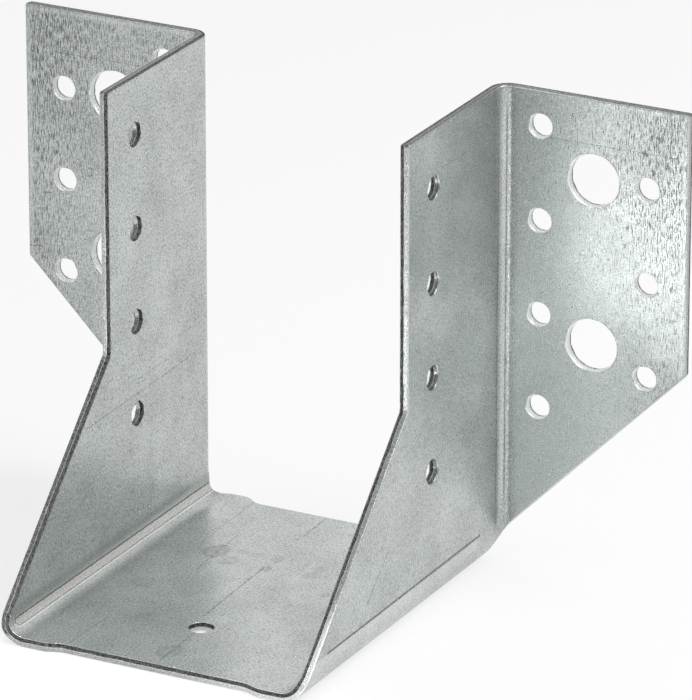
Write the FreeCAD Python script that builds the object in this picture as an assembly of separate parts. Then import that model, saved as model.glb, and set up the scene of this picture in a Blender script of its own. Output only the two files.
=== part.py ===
import FreeCAD, Part
import math
import os

# Joist hanger folded from one sheet. X runs across the joist, Y from the seat's front edge
# to the header, Z up. The origin is the middle of the bounding box, on the seat's underside.

# Driving dimensions of the folded sheet, in millimetres
sheet_thickness = 2.0
pocket_width = 65.0
pocket_height = 100.0
overall_depth = 86.5
cheek_depth = 43.2
flange_reach = 40.7
seat_bend_radius = 4.0
flange_bend_radius = 2.0

# Heights above the bearing face of the seat
knee_height = 44.3
toe_height = 1.6
flange_corner_height = 44.8
flange_root_height = 3.8

# Rounded corners of the blank
knee_radius = 1.5
toe_radius = 3.0
flange_corner_radius = 0.8
top_corner_radius = 0.6

# Seat edges, stepped back in the middle
front_recess = 1.2
rear_setback = 1.5
rear_recess = 2.2
recess_half_width = 20.0
recess_step = 4.4
step_pull = 0.35
rear_corner_run = 7.0
rear_corner_stand = 0.6

# Holes
nail_hole_diameter = 5.0
bolt_hole_diameter = 11.0
nail_pitch = 20.0
bolt_pitch = 35.0
cheek_nail_count = 4
inner_column_count = 4
outer_column_count = 3
bolt_count = 2
inner_column_offset = 8.2
column_step = 11.8
inner_column_drop = 7.5
column_stagger = 9.6
cheek_column_offset = 32.5
cheek_column_drop = 12.0
seat_hole_offset = 21.0
hole_margin = 2.0

# Marks of cutting and folding
edge_ease = 0.25
crease_width = 1.5
crease_depth = 0.12
crease_end_gap = 3.0

# Lengths used only to make cutting tools longer than what they cut
tool_margin = 5.0

# Derived positions
half = 0.5
pocket_half = pocket_width * half
cheek_outer = pocket_half + sheet_thickness
flange_edge = cheek_outer + flange_reach
seat_outer_radius = seat_bend_radius + sheet_thickness
flange_outer_radius = flange_bend_radius + sheet_thickness
seat_face = sheet_thickness
top = seat_face + pocket_height
header_face = overall_depth * half
front_edge = header_face - overall_depth
flange_front = header_face - sheet_thickness
cheek_front = header_face - cheek_depth
rear_edge = header_face - rear_setback
knee = seat_face + knee_height
toe = seat_face + toe_height
flange_corner = seat_face + flange_corner_height
flange_root = seat_face + flange_root_height
bend_top = seat_face + seat_bend_radius
cheek_bend_start = flange_front - flange_bend_radius
mid_angle = math.pi * half * half
sides = (-1.0, 1.0)


def point(x, y, z):
    """A vector, written short."""
    return FreeCAD.Vector(x, y, z)


def closed_face(edges):
    """The flat face inside a closed chain of edges."""
    return Part.Face(Part.Wire(edges))


def arc_through(centre, radius, first, last, place):
    """A circular arc about centre between two angles; place turns plane coordinates into a point."""
    angles = (first, (first + last) * half, last)
    marks = [place(centre[0] + radius * math.cos(a), centre[1] + radius * math.sin(a)) for a in angles]
    return Part.Arc(*marks).toShape()


def on_section(x, z):
    """A point of the cross-section plane at the seat's front edge."""
    return point(x, front_edge, z)


def on_plan(x, y):
    """A point of the level plane at the upper end of the seat's bends."""
    return point(x, y, bend_top)


def rounded_corner(before, corner, after, radius):
    """Start, middle and end of the arc that rounds the corner between two straight edges."""
    back = (before - corner).normalize()
    ahead = (after - corner).normalize()
    opening = back.getAngle(ahead)
    run = radius / math.tan(opening * half)
    centre_gap = radius / math.sin(opening * half)
    inward = (back + ahead).normalize()
    start = corner + back * run
    end = corner + ahead * run
    middle = corner + inward * (centre_gap - radius)
    return start, middle, end


def outline_face(corners):
    """The flat face inside an outline given as (point, corner radius) pairs; radius 0 stays sharp."""
    count = len(corners)
    edges = []
    joints = []
    for index in range(count):
        before = corners[index - 1][0]
        corner, radius = corners[index]
        after = corners[(index + 1) % count][0]
        if radius > 0.0:
            joints.append(rounded_corner(before, corner, after, radius))
        else:
            joints.append((corner, None, corner))
    for index in range(count):
        start, middle, end = joints[index]
        following = joints[(index + 1) % count][0]
        if middle is not None:
            edges.append(Part.Arc(start, middle, end).toShape())
        edges.append(Part.makeLine(end, following))
    return closed_face(edges)


def channel():
    """Seat, two lower bends and both cheeks, full length, before any edge is trimmed."""
    right = 0.0
    down = -math.pi * half
    left = -math.pi
    centre_x = pocket_half - seat_bend_radius
    edges = [
        Part.makeLine(on_section(cheek_outer, top), on_section(cheek_outer, bend_top)),
        arc_through((centre_x, bend_top), seat_outer_radius, right, down, on_section),
        Part.makeLine(on_section(centre_x, 0.0), on_section(-centre_x, 0.0)),
        arc_through((-centre_x, bend_top), seat_outer_radius, down, left, on_section),
        Part.makeLine(on_section(-cheek_outer, bend_top), on_section(-cheek_outer, top)),
        Part.makeLine(on_section(-cheek_outer, top), on_section(-pocket_half, top)),
        Part.makeLine(on_section(-pocket_half, top), on_section(-pocket_half, bend_top)),
        arc_through((-centre_x, bend_top), seat_bend_radius, left, down, on_section),
        Part.makeLine(on_section(-centre_x, seat_face), on_section(centre_x, seat_face)),
        arc_through((centre_x, bend_top), seat_bend_radius, down, right, on_section),
        Part.makeLine(on_section(pocket_half, bend_top), on_section(pocket_half, top)),
        Part.makeLine(on_section(pocket_half, top), on_section(cheek_outer, top)),
    ]
    return closed_face(edges).extrude(point(0.0, overall_depth, 0.0))


def flange_angle(side):
    """Rear strip of one cheek, its outward bend and the flange, from the lower bends to the top."""
    centre = (side * (cheek_outer + flange_bend_radius), cheek_bend_start)
    toward_cheek = math.pi if side > 0.0 else 0.0
    backward = math.pi * half
    tip = side * flange_edge
    edges = [
        Part.makeLine(on_plan(side * cheek_outer, 0.0), on_plan(side * cheek_outer, centre[1])),
        arc_through(centre, flange_bend_radius, toward_cheek, backward, on_plan),
        Part.makeLine(on_plan(centre[0], flange_front), on_plan(tip, flange_front)),
        Part.makeLine(on_plan(tip, flange_front), on_plan(tip, header_face)),
        Part.makeLine(on_plan(tip, header_face), on_plan(centre[0], header_face)),
        arc_through(centre, flange_outer_radius, backward, toward_cheek, on_plan),
        Part.makeLine(on_plan(side * pocket_half, centre[1]), on_plan(side * pocket_half, 0.0)),
        Part.makeLine(on_plan(side * pocket_half, 0.0), on_plan(side * cheek_outer, 0.0)),
    ]
    return closed_face(edges).extrude(point(0.0, 0.0, top - bend_top))


def side_outline():
    """Side view of the channel: upright front edges, knees, slants, toes and the rear corners."""
    start = -cheek_outer - tool_margin
    corners = [
        (point(start, front_edge, -tool_margin), 0.0),
        (point(start, front_edge, toe), toe_radius),
        (point(start, cheek_front, knee), knee_radius),
        (point(start, cheek_front, top), top_corner_radius),
        (point(start, cheek_bend_start, top), 0.0),
        (point(start, cheek_bend_start, bend_top), 0.0),
        (point(start, rear_edge, bend_top), 0.0),
        (point(start, rear_edge, -tool_margin), 0.0),
    ]
    return outline_face(corners).extrude(point(-start - start, 0.0, 0.0))


def flange_outline():
    """Front view of both flanges: upright outer edges and diagonal lower edges."""
    start = cheek_bend_start - tool_margin
    corners = [
        (point(-flange_edge, start, top), top_corner_radius),
        (point(-flange_edge, start, flange_corner), flange_corner_radius),
        (point(-cheek_outer, start, flange_root), 0.0),
        (point(cheek_outer, start, flange_root), 0.0),
        (point(flange_edge, start, flange_corner), flange_corner_radius),
        (point(flange_edge, start, top), top_corner_radius),
    ]
    return outline_face(corners).extrude(point(0.0, header_face - start + tool_margin, 0.0))


def soft_step(inner, outer, level):
    """An edge that leaves one line and joins a parallel one in an S."""
    reach = (outer - inner).x * step_pull
    poles = [inner, point(inner.x + reach, inner.y, level), point(outer.x - reach, outer.y, level), outer]
    curve = Part.BezierCurve()
    curve.setPoles(poles)
    return curve.toShape()


def edge_recess(line, depth, away):
    """Strip taken off a seat edge between the two cheeks, ending in a soft step at each end."""
    level = -tool_margin
    wide = recess_half_width + recess_step
    deep = line - away * depth
    clear = line + away * tool_margin
    left_low = point(-wide, line, level)
    left_deep = point(-recess_half_width, deep, level)
    right_deep = point(recess_half_width, deep, level)
    right_low = point(wide, line, level)
    edges = [
        soft_step(left_low, left_deep, level),
        Part.makeLine(left_deep, right_deep),
        soft_step(right_deep, right_low, level),
        Part.makeLine(right_low, point(wide, clear, level)),
        Part.makeLine(point(wide, clear, level), point(-wide, clear, level)),
        Part.makeLine(point(-wide, clear, level), left_low),
    ]
    return closed_face(edges).extrude(point(0.0, 0.0, bend_top + tool_margin))


def rear_corner(side):
    """Piece taken off the rear end of one lower bend, where it passes under the flange's bend."""
    low = -tool_margin
    far = side * (cheek_outer + tool_margin)
    clear = rear_edge + tool_margin
    line = cheek_bend_start + rear_corner_stand
    start = point(side * (cheek_outer - rear_corner_run), rear_edge, low)
    end = point(side * cheek_outer, line, low)
    edges = [
        soft_step(start, end, low),
        Part.makeLine(end, point(far, line, low)),
        Part.makeLine(point(far, line, low), point(far, clear, low)),
        Part.makeLine(point(far, clear, low), point(start.x, clear, low)),
        Part.makeLine(point(start.x, clear, low), start),
    ]
    return closed_face(edges).extrude(point(0.0, 0.0, bend_top - low))


def hole(diameter, centre, axis):
    """A drill through the sheet, centred on a point of its outer face."""
    reach = sheet_thickness + tool_margin
    start = centre - axis * reach
    return Part.makeCylinder(diameter * half, reach + reach, start, axis)


def column(count, first, pitch, lowest):
    """Heights of a vertical row of holes from the top one down, as far as the metal reaches."""
    heights = [first - pitch * index for index in range(count)]
    return [height for height in heights if height >= lowest]


def lowest_on_flange(x, diameter):
    """Least height of a hole at a distance x from the middle that keeps off the lower edge."""
    rise = flange_corner - flange_root
    edge = flange_root + rise * (x - cheek_outer) / flange_reach
    slant = math.hypot(rise, flange_reach) / flange_reach
    return edge + (diameter * half + hole_margin) * slant


def flange_holes(side):
    """Both nail columns and the bolt holes between them, on one flange."""
    axis = point(0.0, 1.0, 0.0)
    inner = cheek_outer + inner_column_offset
    middle = inner + column_step
    outer = middle + column_step
    first = top - inner_column_drop
    lower = first - column_stagger
    columns = [
        (inner, nail_hole_diameter, inner_column_count, first, nail_pitch),
        (middle, bolt_hole_diameter, bolt_count, lower, bolt_pitch),
        (outer, nail_hole_diameter, outer_column_count, lower, nail_pitch),
    ]
    holes = []
    for x, size, count, start, pitch in columns:
        heights = column(count, start, pitch, lowest_on_flange(x, size))
        holes += [hole(size, point(side * x, flange_front, z), axis) for z in heights]
    return holes


def cheek_holes(side):
    """Column of nail holes in one cheek."""
    axis = point(1.0, 0.0, 0.0)
    y = header_face - cheek_column_offset
    lowest = bend_top + nail_hole_diameter * half + hole_margin
    heights = column(cheek_nail_count, top - cheek_column_drop, nail_pitch, lowest)
    return [hole(nail_hole_diameter, point(side * cheek_outer, y, z), axis) for z in heights]


def seat_hole():
    """The single nail hole near the front of the seat."""
    return hole(nail_hole_diameter, point(0.0, front_edge + seat_hole_offset, 0.0), point(0.0, 0.0, 1.0))


def crease(centre, along, length, bisector, radius):
    """Shallow stripe with round ends, pressed into the inside of a bend along its middle."""
    across = along.cross(bisector)
    width = crease_width * half
    span = length * half - width
    far = radius + crease_depth
    ends = [centre - along * span, centre + along * span]
    edges = [
        Part.makeLine(ends[0] + across * width, ends[1] + across * width),
        Part.Arc(ends[1] + across * width, ends[1] + along * width, ends[1] - across * width).toShape(),
        Part.makeLine(ends[1] - across * width, ends[0] - across * width),
        Part.Arc(ends[0] - across * width, ends[0] - along * width, ends[0] + across * width).toShape(),
    ]
    stripe = closed_face(edges).extrude(bisector * far)
    roll = Part.makeCylinder(far, length, centre - along * (length * half), along)
    return stripe.common(roll)


def seat_crease(side):
    """Crease inside the bend between the seat and one cheek."""
    first = front_edge + crease_end_gap
    last = rear_edge - crease_end_gap
    centre = point(side * (pocket_half - seat_bend_radius), (first + last) * half, bend_top)
    bisector = point(side * math.sin(mid_angle), 0.0, -math.cos(mid_angle))
    return crease(centre, point(0.0, 1.0, 0.0), last - first, bisector, seat_bend_radius)


def flange_crease(side):
    """Crease inside the bend between one cheek and its flange."""
    first = bend_top + crease_end_gap
    last = top - crease_end_gap
    centre = point(side * (cheek_outer + flange_bend_radius), cheek_bend_start, (first + last) * half)
    bisector = point(-side * math.sin(mid_angle), math.cos(mid_angle), 0.0)
    return crease(centre, point(0.0, 0.0, 1.0), last - first, bisector, flange_bend_radius)


def middle_of(edge):
    """The point halfway along an edge."""
    return edge.valueAt((edge.FirstParameter + edge.LastParameter) * half)


def outer_gap(place):
    """Distance from a point to the side of the sheet that the cutting tool entered."""
    x = abs(place.x)
    gaps = [overall_depth]
    if place.z >= bend_top:
        gaps.append(bent_gap(x - cheek_outer, flange_front - place.y))
    if place.y <= flange_front:
        gaps.append(channel_gap(x, place.z))
    return min(gaps)


def bent_gap(beyond, ahead):
    """Distance to the cheek's outer face, its outward bend or the flange's front face."""
    if beyond < flange_bend_radius and ahead < flange_bend_radius:
        return abs(math.hypot(flange_bend_radius - beyond, flange_bend_radius - ahead) - flange_bend_radius)
    if ahead >= flange_bend_radius:
        return abs(beyond)
    return abs(ahead)


def channel_gap(x, z):
    """Distance to the seat's underside, a lower bend's outside or a cheek's outer face."""
    centre_x = pocket_half - seat_bend_radius
    if x > centre_x and z < bend_top:
        return abs(math.hypot(x - centre_x, bend_top - z) - seat_outer_radius)
    if z >= bend_top:
        return abs(cheek_outer - x)
    return abs(z)


def is_sharp(shape, edge):
    """True where the two faces beside an edge meet at a clear angle."""
    middle = middle_of(edge)
    normals = []
    for face in shape.ancestorsOfType(edge, Part.Face):
        across, along = face.Surface.parameter(middle)
        normals.append(face.normalAt(across, along))
    return normals[0].getAngle(normals[-1]) > mid_angle * half


def in_relief(edge):
    """True in the small rear corner where a lower bend passes under a flange bend."""
    middle = middle_of(edge)
    under = seat_face < middle.z < bend_top + edge_ease
    return under and middle.y > cheek_bend_start


def cut_edges(shape):
    """Sheared edges on the side that the cutting tool entered, without those of the relief."""
    found = []
    for edge in shape.Edges:
        rolled = outer_gap(middle_of(edge)) < edge_ease * half
        if rolled and is_sharp(shape, edge) and not in_relief(edge):
            found.append(edge)
    return found


def eased(shape):
    """The shape with its sheared outline and pierced rims eased on the outer side."""
    solid = shape.Solids[0]
    return solid.makeChamfer(edge_ease, cut_edges(solid))


def trimmed_sheet():
    """The folded sheet with its outline cut, before holes and creases."""
    lower = channel().common(side_outline()).cut([rear_corner(side) for side in sides])
    flanges = flange_outline()
    body = lower.fuse([flange_angle(side).common(flanges).cut(front_clear()) for side in sides])
    front = edge_recess(front_edge, front_recess, -1.0)
    rear = edge_recess(rear_edge, rear_recess, 1.0)
    return body.cut([front, rear]).removeSplitter()


def hanger():
    """The folded sheet with eased edges, pierced holes and creases pressed into its bends."""
    holes = [seat_hole()]
    creases = []
    for side in sides:
        holes += flange_holes(side)
        holes += cheek_holes(side)
        creases += [seat_crease(side), flange_crease(side)]
    pierced = trimmed_sheet().cut(holes)
    return eased(pierced).cut(creases).Solids[0]


def front_clear():
    """Block that keeps a flange angle behind the start of its outward bend."""
    corner = point(-flange_edge - tool_margin, front_edge - tool_margin, -tool_margin)
    wide = (flange_edge + tool_margin) / half
    return Part.makeBox(wide, cheek_bend_start - corner.y, top + tool_margin / half, corner)


if __name__ == "__main__":
    os.makedirs("parts", exist_ok=True)
    shape = hanger()
    shape.exportStep("parts/hanger.step")
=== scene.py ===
import math

import bpy
import numpy as np
from mathutils import Matrix, Vector
from mathutils.geometry import delaunay_2d_cdt


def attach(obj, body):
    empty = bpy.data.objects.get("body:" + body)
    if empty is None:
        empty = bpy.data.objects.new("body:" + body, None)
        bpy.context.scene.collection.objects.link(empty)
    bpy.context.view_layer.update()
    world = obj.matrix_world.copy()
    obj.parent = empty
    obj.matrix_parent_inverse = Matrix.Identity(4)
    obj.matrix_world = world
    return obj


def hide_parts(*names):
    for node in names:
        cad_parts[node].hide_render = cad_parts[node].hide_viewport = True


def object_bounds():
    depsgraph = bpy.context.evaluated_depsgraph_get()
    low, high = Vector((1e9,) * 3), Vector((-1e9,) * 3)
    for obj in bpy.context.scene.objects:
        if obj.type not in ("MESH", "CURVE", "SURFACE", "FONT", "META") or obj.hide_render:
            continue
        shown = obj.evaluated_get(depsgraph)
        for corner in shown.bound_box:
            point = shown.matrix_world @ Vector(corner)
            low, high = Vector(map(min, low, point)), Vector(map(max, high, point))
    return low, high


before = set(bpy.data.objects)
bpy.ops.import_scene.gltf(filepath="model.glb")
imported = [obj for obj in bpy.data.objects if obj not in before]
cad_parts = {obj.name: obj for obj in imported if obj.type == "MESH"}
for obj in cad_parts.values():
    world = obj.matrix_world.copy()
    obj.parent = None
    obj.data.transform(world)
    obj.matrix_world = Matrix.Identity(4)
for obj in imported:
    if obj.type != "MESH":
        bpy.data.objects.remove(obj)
CAD_LOW, CAD_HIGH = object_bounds()

bl_info = {
    "name": "Joist hanger",
    "version": (1, 0, 0),
    "blender": (4, 5, 0),
    "location": "3D View > Sidebar > Hanger",
    "description": "Builds a joist hanger folded from zinc-coated sheet, and a plain studio",
    "category": "Object",
}

MM = 0.001  # metres in a millimetre
QUARTER = math.pi / 2.0  # a quarter turn

# Corner radii of the cut outline, in millimetres
TOE_ROUND, KNEE_ROUND, TOP_ROUND, OUTER_ROUND, RELIEF_ROUND = 3.4, 1.5, 0.6, 0.8, 3.2
# Relief at a lower rear corner: its flat, its soft run-out, and its depth on the right and the left, in millimetres
RELIEF_FLAT, RELIEF_RUN, RELIEF_RIGHT, RELIEF_LEFT = 1.4, 5.4, 4.5, 3.4
# The flange's bend starts this far below the end of the seat's bend, and is full after the second length
BEND_BELOW, BEND_GROWTH = 5.0, 6.0
# Spacing of mesh points along straight edges and arcs, on flat parts and along bends, in millimetres
EDGE_STEP, ARC_STEP, FLAT_STEP, BEND_STEP = 0.7, 0.25, 5.0, 1.6
BEND_ROWS = 19  # rows of points across a bend
NAIL_POINTS, BOLT_POINTS = 64, 112  # points round a hole
HOLE_CLEAR, EDGE_CLEAR = 0.9, 0.5  # least distance of inner points from holes and from the outline


def length(name, description, millimetres):
    """A size that a user would change, in metres."""
    return bpy.props.FloatProperty(
        name=name, description=description, default=millimetres * MM, unit="LENGTH", precision=5, min=0.0)


def colour(name, description, value):
    """A colour that a user would change."""
    return bpy.props.FloatVectorProperty(
        name=name, description=description, default=value, size=3, subtype="COLOR", min=0.0, max=1.0)


def share(name, description, value):
    """A plain fraction that a user would change."""
    return bpy.props.FloatProperty(
        name=name, description=description, default=value, min=0.0, max=1.0, subtype="FACTOR")


def power(name, description, value):
    """A lamp's power that a user would change."""
    return bpy.props.FloatProperty(name=name, description=description, default=value, min=0.0, unit="POWER")


class HangerSheetSizes(bpy.types.PropertyGroup):
    """Sizes of the folded sheet."""
    thickness: length("Sheet thickness", "Thickness of the sheet", 2.0)
    pocket_width: length("Pocket width", "Clear width between the cheeks", 65.0)
    pocket_height: length("Pocket height", "Height of the cheeks above the seat", 100.0)
    seat_radius: length("Seat bend radius", "Inner radius of the bends beside the seat", 4.0)
    flange_radius: length("Flange bend radius", "Inner radius of the bends between cheeks and flanges", 2.0)
    cheek_depth: length("Cheek depth", "Depth of a cheek's upper part, from the header's face", 43.2)
    flange_reach: length("Flange reach", "Width of a flange beside its cheek", 40.7)
    knee_height: length("Knee height", "Height above the seat at which the slanted edge starts", 44.3)
    toe_height: length("Toe height", "Height above the seat at which the slanted edge ends", 1.6)
    flange_corner: length("Flange corner height", "Height above the seat of a flange's lower outer corner", 44.8)
    flange_root: length("Flange root height", "Height above the seat at which the lower edge meets the cheek", 3.8)
    front_recess: length("Front recess", "How far the seat's front edge steps back in the middle", 1.2)
    rear_setback: length("Rear setback", "Distance from the header's face to the seat's rear edge", 1.5)
    rear_recess: length("Rear recess", "How far the seat's rear edge steps forward in the middle", 2.2)
    recess_half: length("Half recess width", "Half the width of the stepped part of the seat's edges", 20.0)
    recess_step: length("Recess step", "Width of the soft step at each end of a recess", 4.4)
    nail_hole: length("Nail hole", "Diameter of the small holes", 5.0)
    bolt_hole: length("Bolt hole", "Diameter of the large holes", 11.0)
    nail_pitch: length("Nail pitch", "Distance between nail holes in a column", 20.0)
    bolt_pitch: length("Bolt pitch", "Distance between bolt holes", 35.0)
    inner_column: length("Inner column", "Distance from the cheek to the nearest column of holes", 8.2)
    column_step: length("Column step", "Distance between columns of holes on a flange", 11.8)
    inner_drop: length("Inner drop", "Height of the first hole below the top edge", 7.5)
    column_stagger: length("Column stagger", "How much lower the other columns start", 9.6)
    cheek_column: length("Cheek column", "Distance from the header's face to the cheek's holes", 32.5)
    cheek_drop: length("Cheek drop", "Height of the cheek's first hole below the top edge", 12.0)
    seat_hole: length("Seat hole", "Distance from the front edge to the seat's hole", 21.0)


class HangerZincFinish(bpy.types.PropertyGroup):
    """Colours and gloss of the zinc coating."""
    light: colour("Light zinc", "Colour of the bright parts of the coating", (0.53, 0.56, 0.553))
    dark: colour("Dark zinc", "Colour of the dull flecks of the coating", (0.15, 0.165, 0.16))
    bare: colour("Torn steel", "Colour of the torn part of the cut edges", (0.095, 0.098, 0.094))
    roughness: share("Roughness", "Middle value of the coating's roughness", 0.27)
    # Wear also sets the strength of the painted shade along the creases' borders
    wear: share("Wear", "Strength of scratches, stains and die marks", 0.85)


class HangerStudio(bpy.types.PropertyGroup):
    """Lamps and floor of the studio."""
    key_power: power("Key lamp", "Power of the large lamp above on the right", 3.6)
    fill_power: power("Fill lamp", "Power of the small lamp above the floor in front", 0.35)
    sky: share("Room light", "Strength of the even light from all around", 0.5)


class Blank:
    """The sizes in millimetres, with the positions that follow from them."""

    def __init__(self, sizes):
        for name in sizes.__annotations__:
            setattr(self, name, getattr(sizes, name) / MM)
        self.half_sheet = self.thickness * 0.5
        self.seat_middle = self.seat_radius + self.half_sheet
        self.flange_middle = self.flange_radius + self.half_sheet
        self.arc = self.seat_middle * QUARTER
        self.turn = self.flange_middle * QUARTER
        self.seat_half = self.pocket_width * 0.5 - self.seat_radius
        self.cheek_line = self.seat_half + self.arc
        self.bend_top = self.thickness + self.seat_radius
        self.top = self.thickness + self.pocket_height
        self.header = CAD_HIGH[1] / MM
        self.front = CAD_LOW[1] / MM
        self.fold_line = self.header - self.thickness - self.flange_radius
        self.flange_line = self.fold_line + self.turn
        self.cheek_outer = self.pocket_width * 0.5 + self.thickness
        self.flange_start = self.cheek_outer + self.flange_radius
        self.cheek_front = self.header - self.cheek_depth

    def up(self, height):
        """Place across the blank of a height above the floor on a cheek."""
        return self.cheek_line + height - self.bend_top

    def out(self, x):
        """Place along the blank of a distance from the middle on a flange."""
        return self.flange_line + x - self.flange_start


def eased(x):
    """Smooth step from 0 to 1: three times the square less twice the cube."""
    x = np.clip(x, 0.0, 1.0)
    return x * x * (3.0 - 2.0 * x)


def fold(blank, across, along, level):
    """Points and outward normals of the folded sheet, as a function of two places on the flat blank.

    Across the blank the section runs straight along the seat, then round a quarter circle, then straight
    up the cheek. Along the blank it runs straight to the fold line, then turns outward round a second
    quarter circle, whose angle grows from nothing at the seat's bend to its full size above it, and then
    runs straight along the flange. Level goes from -1 on the inner side to 1 on the outer side.
    """
    side = np.where(across < 0.0, -1.0, 1.0)
    reach = np.abs(across)
    turn = np.clip((reach - blank.seat_half) / blank.seat_middle, 0.0, QUARTER)
    rise = reach - blank.cheek_line
    x = np.minimum(reach, blank.seat_half) + blank.seat_middle * np.sin(turn)
    z = blank.half_sheet + blank.seat_middle * (1.0 - np.cos(turn)) + np.maximum(rise, 0.0)
    outward = np.stack([np.sin(turn), np.zeros_like(turn), -np.cos(turn)], axis=-1)
    past = along - blank.fold_line
    curl = np.clip(past, 0.0, blank.turn)
    straight = np.maximum(past - blank.turn, 0.0)
    angle = eased((rise + BEND_BELOW) / BEND_GROWTH) * curl / blank.flange_middle
    y = np.minimum(along, blank.fold_line) + curl * np.sinc(angle / math.pi) + straight * np.cos(angle)
    push = curl * angle * 0.5 * np.sinc(angle / (2.0 * math.pi)) ** 2 + straight * np.sin(angle)
    normal = outward * np.cos(angle)[..., None]
    normal[..., 1] -= np.sin(angle)
    points = np.stack([x, y, z], axis=-1) + outward * push[..., None]
    points = points + normal * (level * blank.half_sheet)[..., None]
    points[..., 0] *= side
    normal[..., 0] *= side
    return points, normal


def line(start, end, step):
    """Points along a straight line, evenly spaced, without the last one."""
    start, end = np.array(start, float), np.array(end, float)
    count = max(1, int(math.ceil(np.linalg.norm(end - start) / step)))
    t = np.arange(count)[:, None] / count
    return start + (end - start) * t


def round_corner(before, corner, after, radius):
    """Points of the arc that rounds a corner: two unit directions swept by equal angles."""
    before, corner, after = (np.array(v, float) for v in (before, corner, after))
    back = (before - corner) / np.linalg.norm(before - corner)
    ahead = (after - corner) / np.linalg.norm(after - corner)
    half = math.acos(float(np.clip(back @ ahead, -1.0, 1.0))) * 0.5
    sweep = math.pi - 2.0 * half
    run = radius / math.tan(half)
    bisector = (back + ahead) / np.linalg.norm(back + ahead)
    centre = corner + bisector * (radius / math.sin(half))
    first = corner + back * run - centre
    last = corner + ahead * run - centre
    count = max(5, int(math.ceil(radius * sweep / ARC_STEP)))
    t = np.linspace(0.0, 1.0, count + 1)[:, None]
    return centre + (first * np.sin((1.0 - t) * sweep) + last * np.sin(t * sweep)) / math.sin(sweep)


def soft_step(start, end, pull=0.35):
    """Cubic curve that leaves one edge line and joins a parallel one, without the last point."""
    t = np.linspace(0.0, 1.0, 15)[:-1, None]
    start, end = np.array(start, float), np.array(end, float)
    lead = np.array([(end[0] - start[0]) * pull, 0.0])
    poles = (start, start + lead, end - lead, end)
    weights = ((1 - t) ** 3, 3 * t * (1 - t) ** 2, 3 * t * t * (1 - t), t ** 3)
    return sum(w * p for w, p in zip(weights, poles))


def chain(corners, step):
    """Straight edges with rounded corners, without the last point; each corner is a point and a radius."""
    parts = []
    last = np.array(corners[0][0], float)
    for before, (corner, radius), after in zip(corners[:-2], corners[1:-1], corners[2:]):
        arc = round_corner(before[0], corner, after[0], radius)
        parts += [line(last, arc[0], step), arc[:-1]]
        last = arc[-1]
    parts.append(line(last, corners[-1][0], step))
    return np.concatenate(parts)


def half_outline(blank, relief):
    """Outline of the blank's right half from the middle of the front edge to the middle of the rear edge.

    The relief is the depth of the notch between the seat's rear edge and the flange's lower edge.
    """
    inner, outer = blank.recess_half, blank.recess_half + blank.recess_step
    front, front_in = blank.front, blank.front + blank.front_recess
    rear = blank.header - blank.rear_setback
    rear_in = rear - blank.rear_recess
    knee_z, toe_z = blank.thickness + blank.knee_height, blank.thickness + blank.toe_height
    corner_z, root_z = blank.thickness + blank.flange_corner, blank.thickness + blank.flange_root
    top, far = blank.up(blank.top), blank.out(blank.cheek_outer + blank.flange_reach)
    rise = (corner_z - root_z) / blank.flange_reach
    low = blank.up(root_z + rise * blank.flange_radius)
    dip = blank.header - relief
    meet = low - (blank.flange_line - dip) * rise
    notch = meet - RELIEF_FLAT
    corners = [
        ((outer, front), 0.0),
        ((blank.up(toe_z), front), TOE_ROUND),
        ((blank.up(knee_z), blank.cheek_front), KNEE_ROUND),
        ((top, blank.cheek_front), TOP_ROUND),
        ((top, far), TOP_ROUND),
        ((blank.up(corner_z), far), OUTER_ROUND),
        ((meet, dip), RELIEF_ROUND),
        ((notch, dip), 0.0),
    ]
    return np.concatenate([
        line((0.0, front_in), (inner, front_in), EDGE_STEP),
        soft_step((inner, front_in), (outer, front)),
        chain(corners, EDGE_STEP),
        soft_step((notch, dip), (notch - RELIEF_RUN, rear)),
        line((notch - RELIEF_RUN, rear), (outer, rear), EDGE_STEP),
        soft_step((outer, rear), (inner, rear_in)),
        line((inner, rear_in), (0.0, rear_in), EDGE_STEP),
    ])


def outline(blank):
    """The whole outline, anticlockwise: the right half, then the left half mirrored and reversed."""
    right = half_outline(blank, RELIEF_RIGHT)
    left = half_outline(blank, RELIEF_LEFT) * (-1.0, 1.0)
    return np.concatenate([right, left[::-1][:-1]])


def hole_table(blank):
    """Centres on the flat blank and diameters of every hole."""
    top = blank.up(blank.top)
    inner = blank.out(blank.cheek_outer + blank.inner_column)
    middle, far = inner + blank.column_step, inner + 2.0 * blank.column_step
    first = top - blank.inner_drop
    lower = first - blank.column_stagger
    spots = [(first - blank.nail_pitch * i, inner, blank.nail_hole) for i in range(4)]
    spots += [(lower - blank.bolt_pitch * i, middle, blank.bolt_hole) for i in range(2)]
    spots += [(lower - blank.nail_pitch * i, far, blank.nail_hole) for i in range(3)]
    cheek = blank.header - blank.cheek_column
    spots += [(top - blank.cheek_drop - blank.nail_pitch * i, cheek, blank.nail_hole) for i in range(4)]
    seat = [(0.0, blank.front + blank.seat_hole, blank.nail_hole)]
    return np.array(seat + spots + [(-a, b, d) for a, b, d in spots])


def loops(blank):
    """Every closed edge of the blank, with the direction from it into the metal and 1 for a hole."""
    path = outline(blank)
    tangent = np.roll(path, -1, axis=0) - np.roll(path, 1, axis=0)
    tangent /= np.linalg.norm(tangent, axis=1)[:, None]
    found = [(path, np.stack([-tangent[:, 1], tangent[:, 0]], axis=1), 0.0)]
    for a, b, diameter in hole_table(blank):
        count = NAIL_POINTS if diameter < blank.bolt_hole else BOLT_POINTS
        t = np.arange(count) * (2.0 * math.pi / count)
        ray = np.stack([np.cos(t), -np.sin(t)], axis=1)
        found.append((np.array([a, b]) + ray * diameter * 0.5, ray, 1.0))
    return found


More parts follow.
